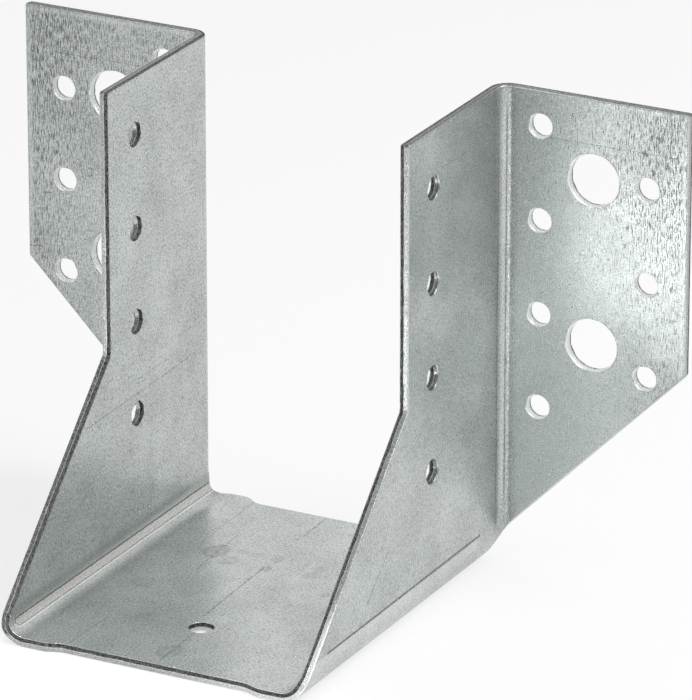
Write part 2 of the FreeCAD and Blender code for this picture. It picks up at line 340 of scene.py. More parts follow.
# Profile of a cut edge, from the outer side to the inner side: depth into the metal in millimetres, level from 1 to
# -1 through the sheet, and kind of surface, from 0 on the coating over 1 on the sheared band to 2 on the torn band
EDGE_INSET, EDGE_LEVEL, EDGE_KIND = np.array([
    (0.42, 1.0, 0.0), (0.29, 0.985, 0.12), (0.17, 0.94, 0.24), (0.07, 0.86, 0.36), (0.015, 0.74, 0.5),
    (0.0, 0.6, 1.0), (0.0, 0.02, 1.0), (0.01, -0.05, 1.35), (0.06, -0.13, 1.8), (0.15, -0.26, 2.0),
    (0.20, -0.50, 2.0), (0.22, -0.74, 2.0), (0.18, -0.86, 1.6), (0.14, -0.91, 0.7), (0.24, -1.0, 0.0),
]).T
SHEAR_TOP = 5  # point of the profile at which the sheared band starts, facing straight out
ROLLED = EDGE_LEVEL > 0.4  # the rolled-over part
FLANGE_ROLL, HOLE_ROLL, ROLL_WANDER = 1.15, 0.9, 0.08  # stretch of the rolled-over part, and how far it wanders
SHEAR_END = 0.02  # level at which the sheared band ends
HOLE_SHEAR_END = -0.5  # the same in a flange's hole
BELOW_SHEAR = EDGE_LEVEL < 0.1
HOLE_LEAN = 0.3  # how far the torn band leans in a flange's hole, as a share of its lean elsewhere
HOLE_CALM = 0.3  # how much the bands wander in a hole, as a share of their wander elsewhere
LIFT, TEAR = 0.05, 0.035  # how far the torn band's height and depth wander
WANDER_TERMS, WANDER_SIZE = 24, 3.4  # sines in a random wave, and what their sum is divided by
PLAIN_DIRT, SLANT_DIRT, HOLE_SHADE = 0.45, 0.7, 0.95  # dirt on plain edges, on the right slanted edge, and painted shade in cheek holes


def wander(count, random, knots):
    """Smooth closed random wave: a few sines of whole numbers of turns, of falling size, added up."""
    t = np.arange(count) * (2.0 * math.pi / count)
    turns = random.integers(1, knots, WANDER_TERMS)
    phase = random.uniform(0.0, 2.0 * math.pi, WANDER_TERMS)
    size = random.uniform(0.3, 1.0, WANDER_TERMS)
    return (size[:, None] * np.sin(turns[:, None] * t + phase[:, None])).sum(axis=0) / WANDER_SIZE


def edge_dirt_and_shade(blank, path, centre, is_hole, in_cheek):
    """Dirt and painted shade along a cut edge.

    It is full on the top edges and on the left slanted edge, and even elsewhere. It grows up the right slanted
    edge and fades towards the seat. In a cheek's hole it is painted shade in the lower half.
    """
    across, along = path.T
    reach = np.abs(across)
    slanted = along < blank.cheek_front - 0.3
    full = (reach > blank.up(blank.top) - 0.4) | ((across < -blank.cheek_line + 4.0) & slanted)
    seat_share = PLAIN_DIRT * (1.0 - eased(across / 25.0))
    right_slant = seat_share + SLANT_DIRT * eased((across - blank.cheek_line - 4.0) / 10.0)
    plain = np.where((across > 0.0) & slanted, right_slant, PLAIN_DIRT)
    # Painted shade in the lower half of a cheek's holes
    lower = eased(0.5 + (abs(centre[0]) - reach) * 0.8) * HOLE_SHADE * in_cheek
    return np.where(full, 1.0, plain) * (1.0 - is_hole) + lower


def edge_strip(blank, path, inward, is_hole, random):
    """Cut edge as a profile carried along a closed path.

    The profile starts on the outer side, rolls over into a smooth sheared band, and ends in a rough torn
    band that leans into the metal. The height of the torn band and its depth wander along the path. In a
    flange's hole the sheared band is deeper and the torn band narrow and nearly upright.
    """
    count = len(path)
    centre = path.mean(axis=0)
    in_flange = is_hole > 0.5 and centre[1] > blank.fold_line
    in_cheek = is_hole > 0.5 and not in_flange and abs(centre[0]) > blank.cheek_line
    deep = (EDGE_LEVEL - SHEAR_END) * (1.0 + HOLE_SHEAR_END) / (1.0 + SHEAR_END) + HOLE_SHEAR_END
    cut = np.where(BELOW_SHEAR & in_flange, deep, EDGE_LEVEL)
    lean = np.where(BELOW_SHEAR & in_flange, HOLE_LEAN, 1.0)
    calm = HOLE_CALM if is_hole else 1.0
    lift = LIFT * calm * wander(count, random, max(8, count // 8))
    tear = TEAR * calm * wander(count, random, max(12, count // 3))
    if is_hole:
        roll = FLANGE_ROLL if in_flange else HOLE_ROLL
    else:
        roll = 1.0 + ROLL_WANDER * wander(count, random, max(8, count // 12))
    torn = np.clip(EDGE_KIND - 1.0, 0.0, 1.0) * (EDGE_LEVEL > -0.9)
    inset = EDGE_INSET * lean * np.where(ROLLED, np.atleast_1d(roll)[:, None], 1.0) + tear[:, None] * lean * torn
    level = cut + lift[:, None] * ((EDGE_KIND >= 1.0) & ~ROLLED & (EDGE_LEVEL > -0.5))
    flat = path[:, None, :] + inward[:, None, :] * inset[..., None]
    points, normal = fold(blank, flat[..., 0], flat[..., 1], level)
    around = np.roll(points, -1, axis=0) - np.roll(points, 1, axis=0)
    facing = np.cross(np.gradient(points, axis=1), around)
    facing /= np.linalg.norm(facing, axis=-1)[..., None]
    inner_point, _ = fold(blank, *(path + inward * 0.5).T, np.zeros(count))
    outer_point, _ = fold(blank, *path.T, np.zeros(count))
    away = outer_point - inner_point
    facing *= np.sign((facing[:, SHEAR_TOP] * away).sum(axis=-1))[:, None, None]
    facing[:, 0] = normal[:, 0]
    facing[:, -1] = -normal[:, -1]
    dirt_and_shade = edge_dirt_and_shade(blank, path, centre, is_hole, in_cheek)
    return flat, level, points, facing, np.repeat(dirt_and_shade, len(EDGE_LEVEL))


def inside(points, path):
    """Even-odd test of many points against a closed path at once."""
    x, y = points[:, 0][:, None], points[:, 1][:, None]
    a, b = path, np.roll(path, -1, axis=0)
    spans = (a[:, 1] > y) != (b[:, 1] > y)
    with np.errstate(divide="ignore", invalid="ignore"):
        cross = a[:, 0] + (y - a[:, 1]) * (b[:, 0] - a[:, 0]) / (b[:, 1] - a[:, 1])
    return (np.count_nonzero(spans & (x < cross), axis=1) % 2) == 1


def nearest(points, others):
    """Distance from each point to the nearest of the others, in blocks of rows."""
    blocks = np.array_split(points, max(1, len(points) // 400))
    return np.concatenate([np.sqrt(((p[:, None] - others[None]) ** 2).sum(-1)).min(axis=1) for p in blocks])


def hole_gap(places, holes):
    """Distance from each place to the rim of each hole, below zero inside it."""
    return np.sqrt(((places[:, None] - holes[None, :, :2]) ** 2).sum(-1)) - holes[None, :, 2] * 0.5


def inner_grid(blank, boundary, holes):
    """Places inside the blank: close rows across each bend, wide ones on the flat parts."""
    top = blank.up(blank.top)
    far = blank.out(blank.cheek_outer + blank.flange_reach)
    seat_rows = np.linspace(blank.seat_half, blank.cheek_line, BEND_ROWS)
    fold_rows = np.linspace(blank.fold_line, blank.flange_line, BEND_ROWS)
    flats_a = np.concatenate([
        np.arange(-top + 3.0, -blank.cheek_line - 1.5, FLAT_STEP),
        np.arange(-blank.seat_half + 2.0, blank.seat_half - 1.0, FLAT_STEP),
        np.arange(blank.cheek_line + 2.0, top, FLAT_STEP),
    ])
    flats_b = np.concatenate([
        np.arange(blank.front + 2.0, blank.fold_line - 1.0, FLAT_STEP),
        np.arange(blank.flange_line + 2.0, far, FLAT_STEP),
    ])
    bends_a = np.arange(blank.cheek_line - 4.0, top, BEND_STEP)
    bends_b = np.arange(blank.front + 1.0, blank.fold_line + 5.0, BEND_STEP)
    pairs = (flats_a, flats_b), (seat_rows, bends_b), (-seat_rows, bends_b), (bends_a, fold_rows), (-bends_a, fold_rows)
    grid = np.concatenate([np.stack([m.ravel() for m in np.meshgrid(*pair)], axis=1) for pair in pairs])
    grid = np.unique(np.round(grid, 4), axis=0)
    grid = grid[inside(grid, boundary[0])]
    grid = grid[(hole_gap(grid, holes) > HOLE_CLEAR).all(axis=1)]
    return grid[nearest(grid, boundary[0]) > EDGE_CLEAR]


def skin(boundary, holes, grid):
    """Triangles between the blank's edges through the grid's places, leaving the holes open."""
    rows = [len(part) for part in boundary]
    starts = np.concatenate([[0], np.cumsum(rows)[:-1]])
    places = np.concatenate(boundary + [grid])
    ring = np.concatenate([
        np.stack([s + np.arange(n), s + (np.arange(n) + 1) % n], axis=1) for s, n in zip(starts, rows)])
    corners = [Vector(p) for p in places.tolist()]
    verts, _, faces, origin, _, _ = delaunay_2d_cdt(corners, ring.tolist(), [], 1, 1e-6, True)
    if len(verts) != len(places):
        raise RuntimeError("the blank's edges cross: %d places became %d" % (len(places), len(verts)))
    faces = np.array([o[0] for o in origin])[np.array(faces)]
    middle = places[faces].mean(axis=1)
    return faces[(hole_gap(middle, holes) > 0.0).all(axis=1) & inside(middle, boundary[0])]


def sheet_mesh(blank):
    """The folded sheet as one closed mesh: an outer skin, an inner skin and the cut edges between them.

    Gives points, normals, places on the blank with the level, kind, and dirt and painted shade of the surface, quads
    and triangles.
    """
    random = np.random.default_rng(7)
    holes = hole_table(blank)
    strips = [edge_strip(blank, path, inward, hole, random) for path, inward, hole in loops(blank)]
    rows = len(EDGE_LEVEL)
    points = [s[2].reshape(-1, 3) for s in strips]
    normals = [s[3].reshape(-1, 3) for s in strips]
    flats = [np.concatenate([s[0], s[1][..., None]], axis=-1).reshape(-1, 3) for s in strips]
    kinds = [np.stack([np.tile(EDGE_KIND, len(s[0])), s[4]], axis=1) for s in strips]
    starts = np.concatenate([[0], np.cumsum([len(p) for p in points])])
    quads, triangles = [], []
    for start, s in zip(starts, strips):
        count = len(s[0])
        i = np.arange(count)[:, None]
        k = np.arange(rows - 1)[None, :]
        here, there = start + i * rows + k, start + ((i + 1) % count) * rows + k
        quads.append(np.stack([here, there, there + 1, here + 1], axis=-1).reshape(-1, 4))
    total = starts[-1]
    for column, level in ((0, 1.0), (rows - 1, -1.0)):
        boundary = [s[0][:, column] for s in strips]
        grid = inner_grid(blank, boundary, holes)
        index = [start + np.arange(len(s[0])) * rows + column for start, s in zip(starts, strips)]
        index = np.concatenate(index + [total + np.arange(len(grid))])
        places, facing = fold(blank, grid[:, 0], grid[:, 1], np.full(len(grid), level))
        points.append(places)
        normals.append(facing * level)
        flats.append(np.concatenate([grid, np.full((len(grid), 1), level)], axis=1))
        kinds.append(np.zeros((len(grid), 2)))
        faces = index[skin(boundary, holes, grid)]
        triangles.append(faces if level > 0.0 else faces[:, ::-1])
        total += len(grid)
    return [np.concatenate(part) for part in (points, normals, flats, kinds, quads, triangles)]


def face_outwards(faces, points, facing):
    """Turns round the faces whose corners run against the given directions."""
    a, b, c = (points[faces[:, i]] for i in range(3))
    flip = (np.cross(b - a, c - a) * facing).sum(axis=1) < 0.0
    faces[flip] = faces[flip][:, ::-1]


def make_sheet(blank):
    """Puts the sheet into a mesh object with its normals, its places on the blank and its kind of surface."""
    points, normals, flats, kinds, quads, triangles = sheet_mesh(blank)
    face_outwards(triangles, points, normals[triangles[:, 0]])
    face_outwards(quads, points, normals[quads].mean(axis=1))
    mesh = bpy.data.meshes.new("folded_sheet")
    mesh.from_pydata((points * MM).tolist(), [], triangles.tolist() + quads.tolist())
    mesh.polygons.foreach_set("use_smooth", np.ones(len(mesh.polygons), bool))
    mesh.attributes.new("blank", "FLOAT_VECTOR", "POINT").data.foreach_set("vector", flats.astype(np.float32).ravel())
    for name, values in zip(("edge_kind", "edge_dirt_and_shade"), kinds.astype(np.float32).T):
        mesh.attributes.new(name, "FLOAT", "POINT").data.foreach_set("value", values.copy())
    mesh.validate()
    mesh.normals_split_custom_set_from_vertices(normals.astype(np.float32).tolist())
    mesh.update()
    sheet = bpy.data.objects.new("folded_sheet", mesh)
    bpy.context.scene.collection.objects.link(sheet)
    return sheet


class Wire:
    """A node socket that takes part in sums and products by making Math nodes."""

    def __init__(self, tree, socket):
        self.tree = tree
        self.socket = socket

    def math(self, operation, *values):
        """A Math node on numbers and wires."""
        node = self.tree.nodes.new("ShaderNodeMath")
        node.operation = operation
        for slot, value in zip(node.inputs, values):
            feed(self.tree, slot, value)
        return Wire(self.tree, node.outputs[0])

    def lesser(self, other):
        return self.math("MINIMUM", self, other)

    def greater(self, other):
        return self.math("MAXIMUM", self, other)

    def __add__(self, other):
        return self.math("ADD", self, other)

    def __radd__(self, other):
        return self.math("ADD", other, self)

    def __sub__(self, other):
        return self.math("SUBTRACT", self, other)

    def __rsub__(self, other):
        return self.math("SUBTRACT", other, self)

    def __mul__(self, other):
        return self.math("MULTIPLY", self, other)

    def __rmul__(self, other):
        return self.math("MULTIPLY", other, self)

    def __abs__(self):
        return self.math("ABSOLUTE", self)


def feed(tree, slot, value):
    """Links a wire into a socket, or sets the socket's own value."""
    if isinstance(value, Wire):
        tree.links.new(value.socket, slot)
    else:
        slot.default_value = value


class Shader:
    """One material's nodes, all added through one method."""

    def __init__(self, material):
        material.use_nodes = True
        self.tree = material.node_tree
        self.tree.nodes.clear()

    def node(self, kind, settings, **sockets):
        """Adds a node: its settings first, then its sockets, named with underscores or by number."""
        made = self.tree.nodes.new(kind)
        for key, value in settings.items():
            setattr(made, key, value)
        for key, value in sockets.items():
            slot = made.inputs[int(key[1:])] if key[0] == "_" else made.inputs[key.replace("_", " ")]
            feed(self.tree, slot, value)
        return made

    def wire(self, made, name=0):
        """An output of a node, by number or name."""
        return Wire(self.tree, made.outputs[name])

    def attribute(self, name, output):
        """A value that the mesh carries."""
        return self.wire(self.node("ShaderNodeAttribute", {"attribute_name": name}), output)

    def noise(self, place, stretch, detail, roughness):
        """Fractal noise of a place whose axes are scaled first."""
        scaled = self.vector("MULTIPLY", place, stretch)
        return self.wire(self.node(
            "ShaderNodeTexNoise", {"normalize": True}, Vector=scaled, Scale=1.0, Detail=detail, Roughness=roughness))

    def band(self, value, low, high):
        """Smooth ramp of a value, from 0 at the first limit to 1 at the second."""
        return self.wire(self.node(
            "ShaderNodeMapRange", {"interpolation_type": "SMOOTHSTEP"}, Value=value, From_Min=low, From_Max=high))

    def fade(self, value, full, gone):
        """The ramp turned round: 1 up to the first limit, and nothing from the second."""
        return 1.0 - self.band(value, full, gone)

    def mix(self, factor, first, second):
        """Mix of two colours."""
        made = self.node("ShaderNodeMix", {"data_type": "RGBA"}, _0=factor)
        for slot, value in zip((made.inputs[6], made.inputs[7]), (first, second)):
            feed(self.tree, slot, (*value, 1.0) if isinstance(value, tuple) else value)
        return self.wire(made, 2)

    def vector(self, operation, first, second):
        """Vector Math of two places; its number where the operation gives one."""
        made = self.node("ShaderNodeVectorMath", {"operation": operation}, _0=first, _1=second)
        return self.wire(made, 1 if operation in ("DOT_PRODUCT", "LENGTH", "DISTANCE") else 0)

    def join(self, x, y, z=0.0):
        """A place from three numbers."""
        return self.wire(self.node("ShaderNodeCombineXYZ", {}, X=x, Y=y, Z=z))

    def stroke(self, place, start, end):
        """Distance from a place to a straight stroke: the part along it, held between its ends, is taken off."""
        run = (end[0] - start[0], end[1] - start[1], 0.0)
        span = math.hypot(run[0], run[1])
        unit = (run[0] / span, run[1] / span, 0.0)
        away = self.vector("SUBTRACT", place, (*start, 0.0))
        along = self.vector("DOT_PRODUCT", away, unit)
        held = along.greater(0.0).lesser(span)
        foot = self.wire(self.node("ShaderNodeVectorMath", {"operation": "SCALE"}, _0=unit, Scale=held))
        return self.vector("DISTANCE", away, foot)


# Scratches on the inner side: start, end, half width and strength, in millimetres on the blank
INNER_SCRATCHES = (
    ((-4.3, 40.8), (-3.8, 28.0), 0.16, 0.6), ((-21.5, 39.7), (-20.8, 16.0), 0.12, 0.45),
    ((-16.1, 22.7), (-14.9, 2.7), 0.14, 0.55), ((-3.3, 9.4), (-2.4, -17.0), 0.17, 0.8),
    ((0.0, -24.8), (0.5, -40.0), 0.15, 0.6), ((-19.1, -26.4), (-19.5, -40.5), 0.13, 0.55),
    ((-12.2, -30.6), (-12.7, -41.4), 0.12, 0.3), ((-65.2, 35.3), (-64.4, -10.8), 0.15, 0.5),
    ((-67.8, 26.5), (-67.7, 11.0), 0.13, 0.4), ((-26.8, 41.0), (-25.9, 33.0), 0.14, 0.5),
)
# Stains on the inner side: centre, half length across, half length along, strength
INNER_STAINS = (
    ((-15.8, 13.3), 2.6, 3.6, 0.55), ((-11.4, 10.2), 1.9, 2.2, 0.35), ((-10.7, 15.4), 1.3, 1.2, 0.4),
    ((-2.6, 9.9), 1.1, 1.3, 0.7), ((-7.8, 15.2), 1.2, 1.2, 0.45), ((-2.9, 15.4), 1.6, 1.5, 0.45),
    ((7.1, 10.8), 1.7, 1.6, 0.4), ((7.3, 14.4), 1.2, 1.5, 0.4), ((14.5, 3.7), 0.8, 1.2, 0.5),
    ((-21.2, -7.5), 2.8, 2.6, 0.3), ((-31.1, 39.4), 0.8, 1.6, 0.6), ((0.1, -35.4), 2.6, 3.2, 0.6),
)
# Scratches on the outer side, alike; negative places lie on the left half
OUTER_SCRATCHES = (
    ((122.8, 52.0), (122.9, 80.0), 0.12, 0.5), ((123.3, 14.2), (123.3, 24.7), 0.13, 0.55),
    ((-122.9, 52.0), (-122.8, 76.0), 0.12, 0.4), ((50.5, -8.0), (42.3, -17.4), 0.14, 0.7),
    ((-91.9, 76.8), (-91.6, 79.2), 0.16, 0.6), ((-98.6, 67.4), (-97.2, 67.4), 0.20, 0.7),
    ((-79.6, 79.8), (-79.4, 82.6), 0.16, 0.6),
)


# Noises of the surface: turns per millimetre across, along and through the sheet, detail, roughness
SURFACE_NOISES = {
    "patches": ((0.07, 0.07, 1.0), 3.0, 0.6), "streaks": ((0.55, 4.0, 1.0), 3.0, 0.6),
    "grain": ((1.9, 3.4, 1.0), 2.0, 0.7), "drawn": ((6.5, 0.16, 1.0), 2.0, 0.5),
    "ragged": ((1.3, 1.3, 1.0), 3.0, 0.7), "rubble": ((2.2, 2.2, 1.2), 3.0, 0.75),
    "waves": ((0.28, 0.95, 1.0), 3.0, 0.65),
}
# Colours of the marks and of the painted highlights and shade, which are the same whatever the coating's colours are
SEAT_CREASE = (0.40, 0.385, 0.36), (0.54, 0.525, 0.50)
FLANGE_CREASE_SHEEN = (0.46, 0.48, 0.47), (0.76, 0.77, 0.76)
SHEEN_HIGHLIGHT, GLINT = (0.85, 0.86, 0.85), (0.93, 0.94, 0.93)
SCRATCH_AND_SHADE, STAIN = (0.08, 0.083, 0.08), (0.13, 0.13, 0.122)
CREST_HIGHLIGHT, EDGE_LIP = (0.92, 0.93, 0.92), (0.10, 0.103, 0.10)
EDGE_DIRT_AND_SHADE, RIDGE_HIGHLIGHT = (0.055, 0.057, 0.058), (0.80, 0.80, 0.79)
BUMP_HEIGHT = 0.00003  # metres that a height of 1 stands for


def tinted(colour_, factor):
    """A colour times a number, held at white."""
    return tuple(min(1.0, v * factor) for v in colour_)


class SheetZones:
    """Where a point lies on the blank, the noises there, and masks for the parts of the sheet and for painted
    highlights and shade.
    """

    def __init__(self, sh, blank):
        parts = sh.node("ShaderNodeSeparateXYZ", {}, _0=sh.attribute("blank", "Vector"))
        across, along, level = (sh.wire(parts, i) for i in range(3))
        reach = abs(across)
        self.along, self.reach = along, reach
        self.flat = sh.join(across, along)
        self.half = sh.join(reach, along)
        shifted = sh.join(across, along, level * 4.0)
        for name, (stretch, detail, roughness) in SURFACE_NOISES.items():
            setattr(self, name, sh.noise(shifted, stretch, detail, roughness))

        # The two sides of the sheet, the outer side's flanges, and the right half
        self.outer = outer = sh.band(level, -0.2, 0.2)
        self.inner = 1.0 - outer
        self.right = right = sh.band(across, -1.0, 1.0)
        self.flange = outer * sh.band(along, blank.flange_line - 1.0, blank.flange_line + 4.0)

        # The cut edges: painted highlight on the rolled-over crest, the lip, painted highlight on the ridge between the
        # bands, torn band, and dirt that is painted shade in cheek holes
        kind = sh.attribute("edge_kind", "Fac")
        self.dirt_and_shade = sh.attribute("edge_dirt_and_shade", "Fac")
        self.edge = sh.band(kind, 0.15, 0.5)
        self.torn = sh.band(kind, 1.35, 1.75)
        self.ridge_glint = sh.fade(abs(kind - 1.28), 0.05, 0.22)
        self.lip = sh.fade(abs(kind - 0.07), 0.02, 0.07)
        self.crest_glint = sh.fade(abs(kind - 0.42), 0.18, 0.34)
        self.coated = 1.0 - self.edge

        # Painted highlight: paler on the right flange beside the bend, and further out low down
        low = sh.fade(reach, blank.up(25.0), blank.up(65.0))
        near = sh.fade(along - low * 12.0, blank.flange_line + 10.0, blank.flange_line + 26.0)
        self.pale = outer * right * sh.band(along, blank.flange_line - 0.5, blank.flange_line + 2.0) * near
        # Painted shade: greyer on the right cheek's upper rear
        rear = sh.band(along, 8.0, 34.0) * sh.fade(along, blank.fold_line - 1.5, blank.fold_line)
        self.rear_shade = outer * right * rear * sh.band(reach, blank.up(50.0), blank.up(92.0))
        # Bright rim along the flanges' top and outer edges
        tip = blank.out(blank.cheek_outer + blank.flange_reach)
        inset = (blank.up(blank.top) - reach).lesser(tip - along)
        on_flange = sh.band(along, blank.flange_line, blank.flange_line + 1.0)
        self.rim = outer * on_flange * sh.fade(inset, 0.9, 1.6) * self.coated


class BendMarks:
    """Masks for what the press leaves on the bends, creases, with painted shade along their borders, and bands of
    painted highlight and painted shade beside them.
    """

    def __init__(self, sh, on, blank):
        reach, along, inner, outer = on.reach, on.along, on.inner, on.outer
        uneven = (on.ragged - 0.5) * 0.35

        # Crease along the middle of each seat bend, on the inner side, with painted shade along its borders, a painted
        # highlight below it and painted shade on the bend beside it
        crease = blank.seat_half + blank.arc * 0.60
        rear = blank.header - blank.rear_setback
        off = sh.stroke(on.half, (crease, blank.front + 3.6), (crease, rear - 2.6))
        above = sh.band(reach, crease - 0.2, crease + 0.2)
        self.seat_press = inner * sh.fade(off, 0.85, 1.0) * on.coated
        seat_border = inner * sh.fade(abs(off - 1.02 + uneven), 0.06, 0.22) * (0.5 + 0.5 * above)
        self.gleam = inner * (1.0 - above) * sh.fade(abs(off - 1.34 + uneven), 0.03, 0.20) * on.coated
        bend = sh.band(reach, blank.seat_half - 1.5, blank.seat_half + 1.5)
        bend = bend * sh.fade(reach, blank.cheek_line - 0.6, blank.cheek_line + 2.0)
        self.dull = inner * (0.4 + 0.6 * above) * bend * sh.band(off, 0.9, 1.1)

        # Softer crease along each flange bend, on the outer side, fading at both ends; its paler colour is partly a
        # painted highlight of the bend, and its borders are painted shade
        crease = blank.fold_line + blank.turn * 0.32
        off = sh.stroke(on.half, (blank.up(9.0), crease), (blank.up(blank.top - 3.4), crease))
        fading = sh.band(reach, blank.up(9.0), blank.up(17.0))
        fading = fading * sh.fade(reach, blank.up(blank.top - 5.5), blank.up(blank.top - 3.5))
        self.fold_crease_and_sheen = outer * sh.fade(off, 1.15, 1.45) * on.coated * fading
        rearward = 0.3 + 0.4 * sh.band(along, crease - 0.5, crease + 0.5)
        fold_border = outer * sh.fade(abs(off - 1.55 + uneven), 0.06, 0.30) * rearward * fading
        self.shaded_border = (seat_border + fold_border) * on.coated
        self.press = self.seat_press + self.fold_crease_and_sheen * 0.5

        # Painted highlights: bright specks past each flange bend
        line_ = blank.fold_line + blank.turn * 0.86
        specks = sh.fade(abs(along - line_), 0.10, 0.45) * sh.band(on.ragged, 0.50, 0.60)
        self.bend_glints = outer * sh.band(reach, blank.up(9.0), blank.up(12.0)) * specks

        # Die line along each cheek's foot, and a painted highlight in the band below it
        foot = sh.stroke(on.half, (blank.up(8.0), -34.0), (blank.up(8.3), 32.0))
        self.die = outer * sh.fade(foot, 0.12, 0.36) * sh.band(on.ragged, 0.30, 0.48)
        foot_sheen = sh.band(reach, blank.up(3.5), blank.up(7.2)) * sh.fade(reach, blank.up(7.6), blank.up(7.9))
        self.below = outer * foot_sheen * sh.fade(along, 30.0, 34.0)


def coating_blemishes(sh, on):
    """Flecks, which lie closer at the flanges' tops and outer edges, then wrinkles, then drawn hairlines."""
    far = 0.30 * sh.band(on.reach, 85.0, 128.0) + 0.40 * sh.band(on.along, 58.0, 80.0)
    dense = on.flange * (0.40 + far) + on.outer * (1.0 - on.flange) * 0.42 - on.flange * 0.14 * on.right
    speckle = on.streaks * 0.68 + on.grain * 0.32 + (dense - 0.5) * 0.11
    flecks = sh.band(speckle, 0.555, 0.60) * (0.40 + dense)
    ripple = sh.fade(abs(on.waves - 0.5), 0.006, 0.020) * sh.band(on.ragged, 0.48, 0.56) * (0.35 + 0.4 * on.inner)
    hair = sh.band(on.drawn, 0.60, 0.70) * on.inner * 0.35
    return flecks, ripple, hair


def scratches(sh, on):
    """The strongest of all strokes at a place, each fading with the distance from it, broken up by a noise."""
    wear = None
    bent = sh.vector("ADD", on.flat, sh.join((on.grain - 0.5) * 0.25, (on.grain - 0.5) * 0.25))
    for side, strokes in ((on.inner, INNER_SCRATCHES), (on.outer, OUTER_SCRATCHES)):
        for start, end, width, strength in strokes:
            mark = sh.fade(sh.stroke(bent, start, end), width * 0.35, width * 1.2) * side * strength * 1.3
            wear = mark if wear is None else wear.greater(mark)
    return wear * sh.band(on.ragged, 0.36, 0.54)


def stains(sh, on):
    """The strongest of all stains at a place, each a filled oval with a darker ring, broken up by a noise."""
    stain = None
    smudge = sh.vector("ADD", on.flat, sh.join((on.ragged - 0.5) * 4.0, (on.streaks - 0.5) * 4.0))
    for (a, b), wide, deep, strength in INNER_STAINS:
        off = sh.vector("MULTIPLY", sh.vector("SUBTRACT", smudge, (a, b, 0.0)), (1.0 / wide, 1.0 / deep, 0.0))
        far = sh.vector("LENGTH", off, (0.0, 0.0, 0.0))
        blot = (sh.fade(far, 0.5, 1.0) * 0.6 + sh.fade(abs(far - 0.85), 0.05, 0.20) * 0.8) * strength
        stain = blot if stain is None else stain.greater(blot)
    return stain * on.inner * sh.band(on.ragged, 0.32, 0.52)


def zinc_material(finish, blank):
    """Satin zinc coating with flecks, creases and wear laid out on the blank, torn steel on the cut edges, and painted
    highlights and shade on the bends and edges.
    """
    material = bpy.data.materials.new("zinc_sheet")
    sh = Shader(material)
    on = SheetZones(sh, blank)
    bend = BendMarks(sh, on, blank)
    flecks, ripple, hair = coating_blemishes(sh, on)
    wear, stain = scratches(sh, on), stains(sh, on)
    light, dark, bare = (tuple(getattr(finish, n)) for n in ("light", "dark", "bare"))

    # The coating
    cloudy = sh.band(on.patches * 0.25 + on.grain * 0.75, 0.38, 0.60)
    coat = sh.mix(cloudy, tinted(light, 0.66), tinted(light, 1.20))
    # Painted highlight on the right flange beside its bend
    coat = sh.mix(on.pale * 0.85, coat, tinted(light, 1.35))
    # Painted shade on the right cheek's upper rear
    coat = sh.mix(on.rear_shade * 0.7, coat, tinted(light, 0.50))
    coat = sh.mix((flecks * 0.72 + hair + ripple).lesser(1.0) * on.coated, coat, dark)
    coat = sh.mix(on.rim * (0.15 + 0.5 * on.grain), coat, tinted(light, 1.25))
    # The bends, with painted highlights and painted shade beside the creases, and the wear
    # Painted shade on the seat bends beside the crease
    coat = sh.mix(bend.dull * 0.7, coat, tinted(light, 0.60))
    coat = sh.mix(bend.seat_press * 0.75, coat, sh.mix(sh.band(on.grain, 0.40, 0.60), *SEAT_CREASE))
    # Flange crease, coloured partly as a painted highlight of the bend
    coat = sh.mix(bend.fold_crease_and_sheen * 0.6, coat, sh.mix(sh.band(on.grain, 0.42, 0.58), *FLANGE_CREASE_SHEEN))
    # Painted highlights below the die lines and along the seat creases' lower borders
    coat = sh.mix(bend.below * (0.15 + 0.4 * on.grain) + bend.gleam * 0.7, coat, SHEEN_HIGHLIGHT)
    # Scratches and die lines, and painted shade along the creases' borders
    coat = sh.mix((wear + bend.shaded_border * 0.95 + bend.die).lesser(1.0) * finish.wear, coat, SCRATCH_AND_SHADE)
    coat = sh.mix(stain * finish.wear, coat, STAIN)
    # Painted highlights past the flange bends
    coat = sh.mix(bend.bend_glints, coat, GLINT)
    # The cut edges, with painted highlights on the crest and the ridge, and dirt and painted shade
    coat = sh.mix(on.edge * (1.0 - on.dirt_and_shade.lesser(1.0)) * 0.55, coat, tinted(light, 1.35))
    # Painted highlight on the rolled-over crest
    coat = sh.mix(on.crest_glint * (0.8 - on.dirt_and_shade.lesser(0.8)), coat, CREST_HIGHLIGHT)
    coat = sh.mix(on.lip * 0.45, coat, EDGE_LIP)
    # Dirt on the cut edges, and painted shade in the cheek holes
    grime_and_shade = on.edge * (1.0 - on.torn) * on.dirt_and_shade * (0.55 + sh.band(on.rubble, 0.40, 0.58) * 0.45)
    coat = sh.mix(grime_and_shade, coat, EDGE_DIRT_AND_SHADE)
    # Painted highlight on the ridge between the sheared and torn bands
    coat = sh.mix(on.ridge_glint * 0.8, coat, RIDGE_HIGHLIGHT)
    coat = sh.mix(on.torn, coat, sh.mix(sh.band(on.rubble, 0.42, 0.60), tinted(bare, 0.30), tinted(bare, 2.1)))

    rough = finish.roughness + (on.grain - 0.5) * 0.25 + flecks * 0.12 + stain * 0.15 + on.torn * 0.4
    height = on.grain * (0.55 + 0.35 * (1.0 - on.flange)) + on.streaks * 0.35 - ripple * 0.5 - flecks * 0.5
    height = height - bend.shaded_border * 2.0 - bend.press * 2.0 + on.edge * on.rubble * (0.7 + on.torn * 2.0)
    bump = sh.wire(sh.node("ShaderNodeBump", {}, Strength=1.0, Distance=BUMP_HEIGHT, Height=height))
    zinc = sh.node("ShaderNodeBsdfPrincipled", {}, Base_Color=coat, Metallic=0.9, Roughness=rough, Normal=bump)
    sh.node("ShaderNodeOutputMaterial", {}, Surface=sh.wire(zinc))
    return material


